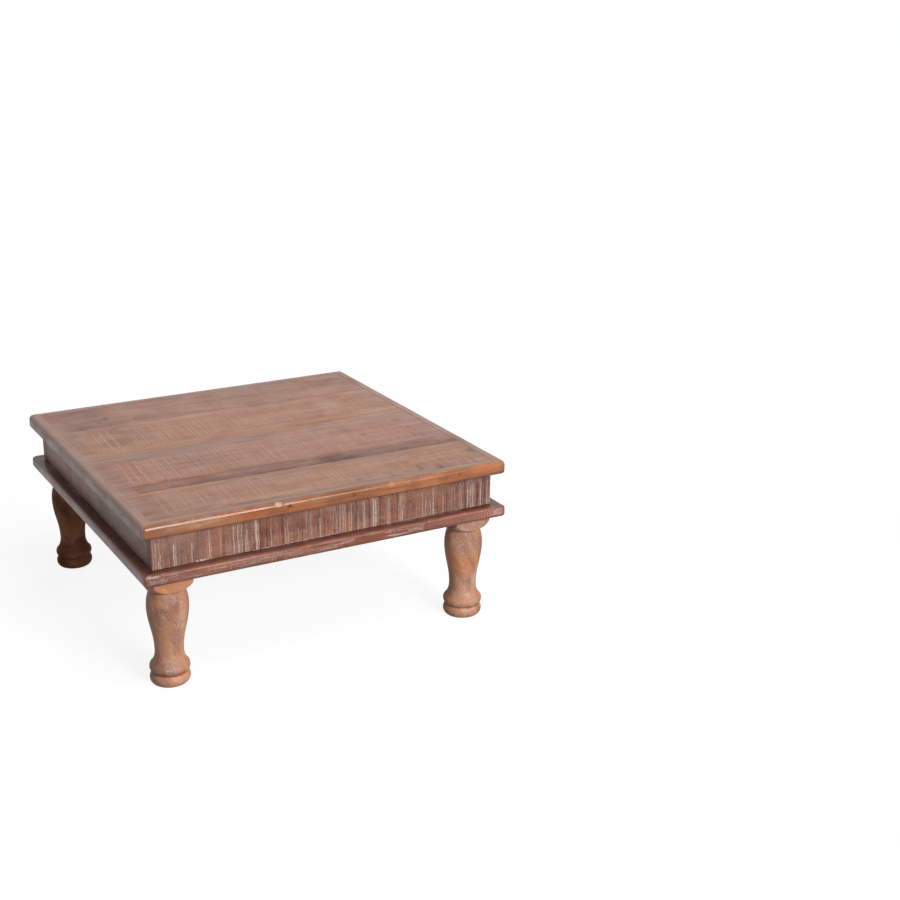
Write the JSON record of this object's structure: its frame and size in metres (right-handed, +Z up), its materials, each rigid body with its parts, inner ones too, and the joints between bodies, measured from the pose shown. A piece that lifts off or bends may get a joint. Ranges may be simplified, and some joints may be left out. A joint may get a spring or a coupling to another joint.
{
  "type": "bajot low table",
  "caption": "Low square wooden table: planked top in a mitred border, recessed apron, ledge frame and turned vase-shaped legs.",
  "frame": {"origin": "on the floor, under the centre of the table top", "axes": "+X to the right along the front edge and along the planks, +Y from front to back, +Z up"},
  "size_m": [0.4004, 0.4004, 0.18],
  "materials": {
    "top_planks": "satin waxed, pale saw marks across the grain",
    "border": "satin waxed, worn edges",
    "apron": "rough sawn, limewash left in the saw marks",
    "lower_frame": "satin waxed, worn limewash",
    "legs": "turned and waxed, faint limewash flecks",
    "inner_wood": "sawn, unfinished",
    "nails": "dark, slightly rusted",
    "screws": "dulled"
  },
  "bodies": {
    "root": {"top_plank_back": "top_planks", "top_plank_mid_back": "top_planks", "top_plank_mid_front": "top_planks", "top_plank_front": "top_planks", "top_border_front": "border", "top_border_back": "border", "top_border_left": "border", "top_border_right": "border", "apron_front": "apron", "apron_back": "apron", "apron_left": "apron", "apron_right": "apron", "lower_frame_front": "lower_frame", "lower_frame_back": "lower_frame", "lower_frame_left": "lower_frame", "lower_frame_right": "lower_frame", "leg_front_left": "legs", "leg_front_right": "legs", "leg_back_left": "legs", "leg_back_right": "legs", "batten_left": "inner_wood", "batten_right": "inner_wood", "corner_block_front_left": "inner_wood", "corner_block_front_right": "inner_wood", "corner_block_back_left": "inner_wood", "corner_block_back_right": "inner_wood", "tenon_wedges": "inner_wood", "border_brads": "nails", "apron_nails": "nails", "frame_nails": "nails", "frame_screws": "screws", "block_screws": "screws", "top_screws": "screws", "batten_screws": "screws"}
  },
  "joints": []
}
